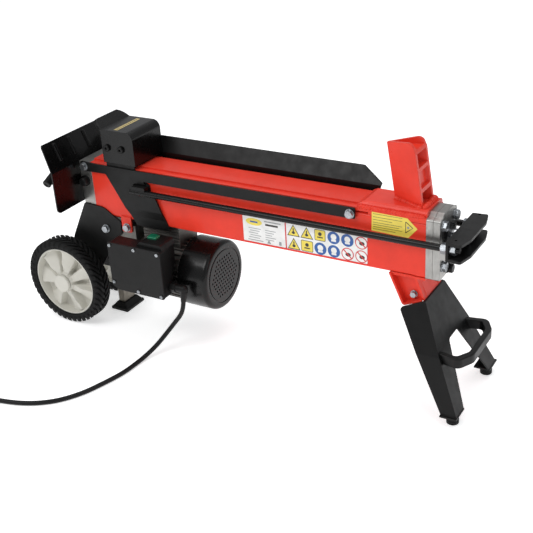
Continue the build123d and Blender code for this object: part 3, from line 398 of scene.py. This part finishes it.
def tyre(side, name, body, node):
    """Rounded carcass with two rows of slanted lugs, half a pitch apart."""
    bm = bmesh.new()
    half_profile = [(74.1, -17.0), (76, -18.6), (79, -18.2), (82, -18.9), (85.6, -17.8),
                    (87.6, -14.5), (88.4, -8.0)]
    profile = half_profile + [(88.6, 0)] + [(r, -out) for r, out in reversed(half_profile)]
    rings = []
    for i in range(TYRE_STEPS):
        angle = 2 * math.pi * i / TYRE_STEPS
        rings.append([on_wheel(side, r, angle, out) for r, out in profile])
    strip(bm, rings, close_along=True)
    # Lugs: (offset across the tread, foot radius, crown radius), swept back towards the shoulder.
    stations = [(1.4, 87.0, 92.6), (5.0, 87.0, 93.4), (11.0, 87.0, 93.3), (15.5, 86.0, 92.8),
                (18.2, 84.5, 91.2), (19.0, 80.0, 87.5), (18.9, 77.5, 80.5)]
    pitch = 2 * math.pi / LUG_COUNT
    for half in (-1, 1):
        for i in range(LUG_COUNT):
            middle = pitch * (i + (0.25 if half > 0 else -0.25))
            rings = []
            for k, (out, foot, crown) in enumerate(stations):
                centre = middle + 0.012 * out + 0.0022 * max(0.0, out - 9) ** 1.5
                wide = (0.33 - 0.008 * k) * pitch
                narrow = wide * 0.8
                on_wall = k >= WALL_STATION
                low, high = (foot - 0.6, foot + 4.0) if on_wall else (foot, crown)
                spread = out * half + (half * 0.9 if on_wall else 0)
                inner = out * half - (half * 1.6 if on_wall else 0)
                rings.append([on_wheel(side, low, centre - wide, inner),
                              on_wheel(side, high, centre - narrow, spread),
                              on_wheel(side, high, centre + narrow, spread),
                              on_wheel(side, low, centre + wide, inner)])
            strip(bm, rings, caps=True)
    obj = piece(name, mesh_of(bm, name), body, "tyre_rubber", angle=30)
    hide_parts(node)


def ease(value, low, high):
    """0 below low, 1 above high, and a smooth rise between."""
    part = min(1.0, max(0.0, (value - low) / (high - low)))
    return part * part * (3 - 2 * part)


SPOKES = 7


def rim_face(radius, angle):
    """How far the moulded face stands out: lip, dished spokes, recesses and hub."""
    if radius >= 69.5:
        return 6.5 + 9.5 * ease(radius, 69.5, 71.0) - 1.2 * ease(radius, 73.0, 74.0)
    pitch = 2 * math.pi / SPOKES
    offset = (angle % pitch) / pitch - 0.5
    half = 0.30 - 0.05 * ease(radius, 22, 60)
    petal = 1 - ease(abs(offset), half, half + 0.10)
    crown = 6.0 + 7.5 * (1 - ease(radius, 20, 66)) + 5.0 * offset / half * ease(radius, 24, 44)
    floor_out = -7.0 + 3.0 * ease(radius, 60, 69)
    out = floor_out + (crown - floor_out) * petal
    hub = 1 - ease(radius, 19.0, 22.5)
    return out + (18.8 - out) * hub + 0.8 * (1 - ease(radius, 10, 19))


def rim(side, name, body, node):
    """Moulded rim: the shaped face, the lip and the set-back rear."""
    bm = bmesh.new()
    segments = SPOKES * 26
    front = [8.2, 9.5, 14, 18, 19, 20, 21, 22.5, 25, 29, 34, 40, 46, 52, 58, 63, 66.5, 68.5, 69.5,
             70, 70.5, 71, 72, 73, 73.5, 74]
    # Rear rings: radius, how much they follow the face, and how far out.
    back = [(74, 0.0, -14.8), (73, 0.0, -16), (71, 0.0, -16), (70, 0.0, -14)]
    back += [(r, 1.0, -4.0) for r in (69, 66, 58, 50, 42, 34, 28, 23)]
    back += [(19, 0.0, -19.0), (16, 0.0, -20.0), (8.2, 0.0, -20.0)]
    rings = []
    angles = [2 * math.pi * i / segments for i in range(segments)]
    for radius in front:
        rings.append([on_wheel(side, radius, a, rim_face(radius, a)) for a in angles])
    for radius, follow, out in back:
        rings.append([on_wheel(side, radius, a, out + follow * rim_face(min(radius, 69.4), a))
                      for a in angles])
    strip(bm, rings, close_along=True)
    obj = piece(name, mesh_of(bm, name), body, "rim_plastic", angle=50)
    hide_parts(node)


for side, word in ((-1, "near"), (1, "far")):
    tyre(side, word + "_tyre_treaded", word + "_wheel", word + "_tyre")
    rim(side, word + "_rim_moulded", word + "_wheel", word + "_rim")


# ---- turned rubber pieces ------------------------------------------------------------
def lathe(name, start, end, profile, body, slot, sides=48):
    """Turned piece between two points; the profile is (distance along in mm, radius in mm)."""
    axis = (end - start).normalized()
    across = axis.orthogonal().normalized()
    other = axis.cross(across)
    rings = []
    for along, radius in profile:
        centre = start + axis * along / 1000
        rings.append([centre + (across * math.cos(t) + other * math.sin(t)) * radius / 1000
                      for t in (2 * math.pi * i / sides for i in range(sides))])
    bm = bmesh.new()
    strip(bm, rings, caps=True)
    return piece(name, mesh_of(bm, name), body, slot, angle=40)


GRIP_A, GRIP_B, GRIP_X = (-78.0, 343.0), (-119.0, 324.0), -361.0
grip_start = mm(GRIP_X, *GRIP_A)
grip_end = mm(GRIP_X, *GRIP_B)
grip_long = (grip_end - grip_start).length * 1000
grip_profile = [(2.0, 4.4), (2.0, 8.3), (3.0, 9.2), (4.6, 9.2), (5.6, 8.0)]
along = 6.4
while along < grip_long - 9:
    grip_profile += [(along, 7.8), (along + 0.6, 8.5), (along + 2.0, 8.5), (along + 2.6, 7.8)]
    along += 3.6
grip_profile += [(grip_long - 5.5, 7.9), (grip_long - 4.4, 8.7), (grip_long - 1.2, 8.6),
                 (grip_long, 7.4), (grip_long, 4.2), (grip_long - 1.4, 3.8)]
grip = lathe("lever_grip_ribbed", grip_start, grip_end, grip_profile, "lever", "grip_rubber")
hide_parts("lever_grip")

FOOT_X, FOOT_OUT, FOOT_HIGH = 461, 86, 18
foot_profile = [(0, 8.0), (0, 9.4), (1.2, 10.8), (3.0, 11.0), (3.4, 10.3), (4.2, 10.3), (4.6, 11.0),
                (7.0, 11.0), (7.4, 10.3), (8.2, 10.3), (8.6, 11.0), (11.0, 10.8), (12.0, 9.6),
                (15.5, 9.4), (16.2, 10.6), (17.98, 10.9)]
for side, word in ((-1, "near"), (1, "far")):
    foot = lathe(word + "_foot_cap", mm(FOOT_X, side * FOOT_OUT, 0),
                 mm(FOOT_X, side * FOOT_OUT, FOOT_HIGH), foot_profile, "chassis", "pad_rubber")
    if side < 0:
        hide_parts("rubber_feet")

# ---- plug ----------------------------------------------------------------------------
PLUG_X, PLUG_Z = -527.0, 14.0


def plug_body():
    """Moulded plug: tapered ribbed neck, then a rounded body with finger grooves."""
    sections = [(-299.0, 5.3, 5.3, 9.0), (-296.0, 6.2, 6.2, 9.6)]
    y = -294.5
    for step in range(5):
        size = 6.4 + step * 0.7
        height = 10.0 + step * 0.75
        sections += [(y, size, size, height), (y + 1.6, size + 0.5, size + 0.5, height),
                     (y + 2.4, size - 0.5, size - 0.5, height)]
        y += 3.8
    sections += [(y, wide, high, PLUG_Z) for y, wide, high in
                 ((-274.0, 11.5, 9.5), (-270.0, 16.0, 12.2), (-262.0, 17.6, 12.9),
                  (-255.0, 16.4, 12.7), (-248.0, 16.2, 12.6), (-242.0, 17.8, 13.0),
                  (-236.5, 17.9, 13.0), (-234.6, 16.8, 12.0))]
    rings = []
    sides = 40
    for y, wide, high, z in sections:
        ring = []
        for i in range(sides):
            t = 2 * math.pi * i / sides
            c, s = math.cos(t), math.sin(t)
            ring.append(mm(PLUG_X + wide * math.copysign(abs(c) ** 0.8, c), y,
                           z + high * math.copysign(abs(s) ** 0.8, s)))
        rings.append(ring)
    bm = bmesh.new()
    strip(bm, rings, caps=True)
    return piece("plug_moulding", mesh_of(bm, "plug_moulding"), "chassis", "cord_rubber")


plug = plug_body()
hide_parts("mains_plug")
pin_profile = [(0, 2.4), (18, 2.4), (20.2, 1.9), (21, 1.0)]
for letter, off in (("a", -9.5), ("b", 9.5)):
    lathe("plug_pin_" + letter, mm(PLUG_X + off, -236.0, PLUG_Z),
                      mm(PLUG_X + off, -215.0, PLUG_Z), pin_profile, "chassis", "bright_steel", 24)


# ---- stickers ------------------------------------------------------------------------
def vinyl(name, colour, rough=0.35):
    """Printed vinyl: faint mottling, light scuffs."""
    n = Nodes(name)
    pale = tuple(min(1.0, c * 0.86) for c in colour[:3]) + (1.0,)
    tone = n.mix(n.span(n.noise(55, 5, 0.6), 0.35, 0.7, 0.0, 1.0), colour, pale)
    scuff = n.span(n.noise(400, 2, 0.5, (1, 1, 6)), 0.66, 0.74, 0.0, 0.22)
    tone = n.mix(scuff, tone, (0.55, 0.54, 0.52, 1.0))
    return n.finish(tone, n.span(n.noise(70, 4), 0.3, 0.7, rough * 0.8, rough * 1.25),
                    n.bump(n.noise(1200, 2), 0.00002, 0.4))


WHITE, CRIMSON, YELLOW, BLUE, INK, GREY, BUFF = range(7)
prints = [vinyl("print_white", rgb(236, 236, 234)), vinyl("print_red", rgb(206, 40, 44)),
          vinyl("print_yellow", rgb(236, 214, 84)), vinyl("print_blue", rgb(34, 88, 160)),
          vinyl("print_ink", rgb(44, 42, 36)), vinyl("print_grey", rgb(150, 152, 154)),
          vinyl("print_buff", rgb(196, 176, 112))]


class Sticker:
    """Flat printed shapes laid over each other on one plane, each a hair thicker than the last."""

    def __init__(self, name, place):
        self.bm = bmesh.new()
        self.name = name
        self.place = place

    def shape(self, points, ink, thick):
        """Closed outline in the sticker's plane, raised by its thickness in millimetres."""
        low = [self.bm.verts.new(self.place(u, v, 0.0)) for u, v in points]
        high = [self.bm.verts.new(self.place(u, v, thick)) for u, v in points]
        self.bm.faces.new(high).material_index = ink
        for i in range(len(points)):
            j = (i + 1) % len(points)
            self.bm.faces.new((low[i], low[j], high[j], high[i])).material_index = ink

    def bar(self, u0, u1, v0, v1, ink, thick=0.3):
        self.shape([(u0, v0), (u1, v0), (u1, v1), (u0, v1)], ink, thick)

    def disc(self, u, v, r, ink, thick=0.3, squash=1.0, sides=28):
        turn = [2 * math.pi * i / sides for i in range(sides)]
        self.shape([(u + r * math.cos(t), v + r * squash * math.sin(t)) for t in turn], ink, thick)

    def triangle(self, u, v, r, ink, thick=0.3):
        corners = [(u - r, v - r * 0.82), (u + r, v - r * 0.82), (u, v + r * 0.92)]
        self.shape(corners, ink, thick)

    def rounded(self, u, v, half_u, half_v, ink, thick, corner=2.0):
        points = []
        for quarter, (su, sv) in enumerate(((1, 1), (-1, 1), (-1, -1), (1, -1))):
            for step in range(5):
                t = math.pi / 2 * (quarter + step / 4)
                points.append((u + su * (half_u - corner) + corner * math.cos(t),
                               v + sv * (half_v - corner) + corner * math.sin(t)))
        self.shape(points, ink, thick)

    def done(self, body):
        mesh = mesh_of(self.bm, self.name)
        for material in prints:
            mesh.materials.append(material)
        return piece(self.name, mesh, body, "label_vinyl", smooth=False)


BEAM_SIDE = -38.0


def on_beam_side(u, v, up):
    return mm(u, BEAM_SIDE - up, v)


PUSHER_TOP = 423.4


def on_pusher(u, v, up):
    return mm(v, u, PUSHER_TOP + up)


def safety_panel():
    """White panel: lines and an oval on the left, two rows of plain coloured signs on the right."""
    s = Sticker("beam_panel", on_beam_side)
    s.rounded(157.5, 271.0, 125.5, 27.0, CRIMSON, 0.12, 1.5)
    s.rounded(76.5, 271.0, 44.0, 25.6, WHITE, 0.2, 1.2)
    s.rounded(202.5, 271.0, 79.4, 25.6, WHITE, 0.2, 1.2)
    s.disc(56, 285.5, 17, YELLOW, 0.28, 0.42)
    s.bar(48, 64, 284.0, 287.0, BLUE, 0.34)
    for row in range(5):
        v = 272 - row * 4.6
        s.bar(44 + 3 * (row % 2), 70 - 3 * (row % 3), v, v + 1.3, GREY)
        s.bar(79, 101 - 4 * (row % 3), v, v + 1.3, GREY)
    s.bar(78, 112, 289.0, 291.0, GREY)
    s.bar(80, 106, 282, 285.6, INK)
    s.bar(42, 74, 248.5, 250.0, GREY)
    s.triangle(86, 250.5, 4.2, GREY)
    s.bar(107, 112, 247.5, 255, GREY)
    columns = [137.8 + 26.6 * k for k in range(6)]
    high, low = 283.2, 257.2
    for u, v in ((columns[0], high), (columns[1], high), (columns[0], low)):
        s.triangle(u, v - 0.6, 13.0, INK, 0.28)
        s.triangle(u, v - 1.0, 10.6, YELLOW, 0.34)
        s.disc(u, v - 4.4, 3.3, INK, 0.4, 0.8)
        s.bar(u - 1.1, u + 1.1, v - 2, v + 4.2, INK, 0.4)
    for u, v, half in ((columns[2], high, 10.8), (columns[1], low, 12.0)):
        s.rounded(u, v, half, 10.8, INK, 0.28, 2.4)
        s.rounded(u, v, half - 1.1, 9.7, YELLOW, 0.34, 1.8)
        s.bar(u - 5.5, u + 5.5, v - 5.2, v - 2.8, INK, 0.4)
        s.disc(u, v + 2.4, 3.6, INK, 0.4)
    for u, v in ((columns[3], high), (columns[4], high), (columns[2], low), (columns[3], low)):
        s.disc(u, v, 12.0, BLUE, 0.28)
        s.disc(u, v + 1.8, 5.6, WHITE, 0.34)
        s.bar(u - 4.6, u + 4.6, v - 7.2, v - 3.2, WHITE, 0.34)
    for u, v in ((columns[5], high), (columns[4], low), (columns[5], low)):
        s.disc(u, v, 12.0, CRIMSON, 0.28)
        s.disc(u, v, 10.2, WHITE, 0.34)
        s.disc(u + 1, v - 1, 5.2, INK, 0.4, 0.7)
        s.shape([(u - 8.4, v + 6.9), (u - 6.9, v + 8.4), (u + 8.4, v - 6.9), (u + 6.9, v - 8.4)],
                CRIMSON, 0.46)
    s.done("chassis")


def arrow_sticker():
    """Yellow arrow-shaped sticker with thin rules and a small triangle at its tip."""
    s = Sticker("yellow_arrow", on_beam_side)
    s.shape([(290, 311), (357, 309), (373, 327.5), (355, 344), (291, 345.5)], YELLOW, 0.2)
    for v in (342.0, 336.5, 326.5, 318.5):
        s.bar(293, 346, v, v + 0.7, INK, 0.27)
    s.bar(293, 328, 331.5, 332.2, INK, 0.27)
    s.bar(293, 340, 322.5, 323.2, INK, 0.27)
    s.bar(293, 334, 314.5, 315.2, INK, 0.27)
    s.shape([(351.5, 318), (352.6, 318), (352.6, 337), (351.5, 337)], INK, 0.27)
    s.shape([(351.5, 337), (352.6, 338), (365.6, 328), (364, 327.6)], INK, 0.27)
    s.shape([(351.5, 318), (364, 327.6), (365.6, 328), (352.6, 317)], INK, 0.27)
    s.disc(356.6, 327.4, 2.3, GREY, 0.3)
    s.done("chassis")


def pusher_strip():
    """Narrow pale strip across the pusher's top, with dark dashes."""
    s = Sticker("pusher_strip", on_pusher)
    s.bar(-37, 35, -244.5, -235.5, BUFF, 0.2)
    for step in range(11):
        u = -33 + step * 6.0
        s.bar(u, u + 3.4 - (step % 3) * 0.6, -241.8, -238.4, INK, 0.27)
    s.done("ram")


safety_panel()
arrow_sticker()
pusher_strip()

# ---- welds ---------------------------------------------------------------------------
WELD_STEP, WELD_SIDES = 1.1, 10        # mm between rings, and corners of a ring


def weld(name, path, radius, seed, slot="red_paint"):
    """Uneven bead of weld under the paint, with the ripples and lumps of its passes."""
    dice = random.Random(seed)
    points = []
    for start, end in zip(path, path[1:]):
        a, b = mm(*start), mm(*end)
        steps = max(2, int((b - a).length * 1000 / WELD_STEP))
        points += [a.lerp(b, i / steps) for i in range(steps)]
    points.append(mm(*path[-1]))
    rings = []
    drift = 0.0
    for i, point in enumerate(points):
        ahead = points[min(i + 1, len(points) - 1)] - points[max(i - 1, 0)]
        across = ahead.normalized().orthogonal().normalized()
        other = ahead.normalized().cross(across)
        drift = drift * 0.8 + dice.uniform(-0.14, 0.14)
        end_taper = min(1.0, 0.25 + min(i, len(points) - 1 - i) * 0.3)
        swell = radius * end_taper * (1 + 0.16 * math.sin(i * 1.35) + drift)
        rings.append([point + (across * math.cos(t) + other * math.sin(t)) * swell / 1000
                      for t in (2 * math.pi * k / WELD_SIDES for k in range(WELD_SIDES))])
    bm = bmesh.new()
    strip(bm, rings, caps=True)
    return piece(name, mesh_of(bm, name), "chassis", slot, angle=60)


for side, word in ((-1, "near"), (1, "far")):
    weld("weld_base_" + word, [(264, side * 35.6, 350.2), (300, side * 36.0, 350.0),
                               (386, side * 36.0, 350.0)], 3.6, 11 + side)
    weld("weld_wedge_" + word, [(316.5, side * 0.8, 360.2), (345, side * 13.4, 360.2),
                                (375, side * 26.0, 360.2)], 5.0, 21 + side, slot="red_cast")
    weld("weld_bracket_" + word, [(325, side * 38.2, 239.2), (370, side * 38.2, 239.2)], 1.6,
         31 + side)
weld("weld_wedge_rear", [(378.5, -26, 360.4), (379.5, 0, 360.8), (378.5, 26, 360.4)], 5.6, 41,
     slot="red_cast")
weld("weld_base_end", [(262.5, -30, 350.0), (262.0, 0, 350.2), (262.5, 30, 350.0)], 3.4, 43)


# ---- floor and light -----------------------------------------------------------------
def floor():
    """Plain pale floor, lit a little from within so that it reads as studio white."""
    bm = bmesh.new()
    bmesh.ops.create_grid(bm, x_segments=8, y_segments=8, size=9.0)
    mesh = bpy.data.meshes.new("floor")
    bm.to_mesh(mesh)
    bm.free()
    n = Nodes("floor")
    tint = n.mix(n.span(n.noise(3, 3), 0.3, 0.7, 0.0, 1.0), (0.93, 0.93, 0.93, 1),
                 (0.95, 0.95, 0.95, 1))
    mesh.materials.append(n.finish(tint, 0.75, specular=0.1))
    n.shader.inputs["Emission Color"].default_value = (1, 1, 1, 1)
    n.shader.inputs["Emission Strength"].default_value = 0.5
    obj = bpy.data.objects.new("floor", mesh)
    bpy.context.scene.collection.objects.link(obj)


def area_light(name, at, target, size, power):
    """Soft rectangular light that looks at a point; metres and watts."""
    data = bpy.data.lights.new(name, "AREA")
    data.shape = "RECTANGLE"
    data.size, data.size_y = size
    data.energy = power
    obj = bpy.data.objects.new(name, data)
    bpy.context.scene.collection.objects.link(obj)
    obj.location = at
    obj.rotation_mode = "QUATERNION"
    obj.rotation_quaternion = (Vector(target) - Vector(at)).to_track_quat("-Z", "Y")


floor()
area_light("key", (-0.9, -1.9, 2.3), (0, 0, 0.2), (1.6, 1.2), 30)
area_light("top", (0.3, 0.5, 2.6), (0, 0, 0.2), (2.4, 1.6), 24)
area_light("side", (2.4, -0.7, 1.3), (0, 0, 0.25), (1.2, 1.4), 3)
world = bpy.data.worlds.new("studio")
world.use_nodes = True
world.node_tree.nodes["Background"].inputs["Color"].default_value = (0.97, 0.98, 1.0, 1.0)
world.node_tree.nodes["Background"].inputs["Strength"].default_value = 0.5
bpy.context.scene.world = world
bpy.context.scene.view_settings.view_transform = "Standard"
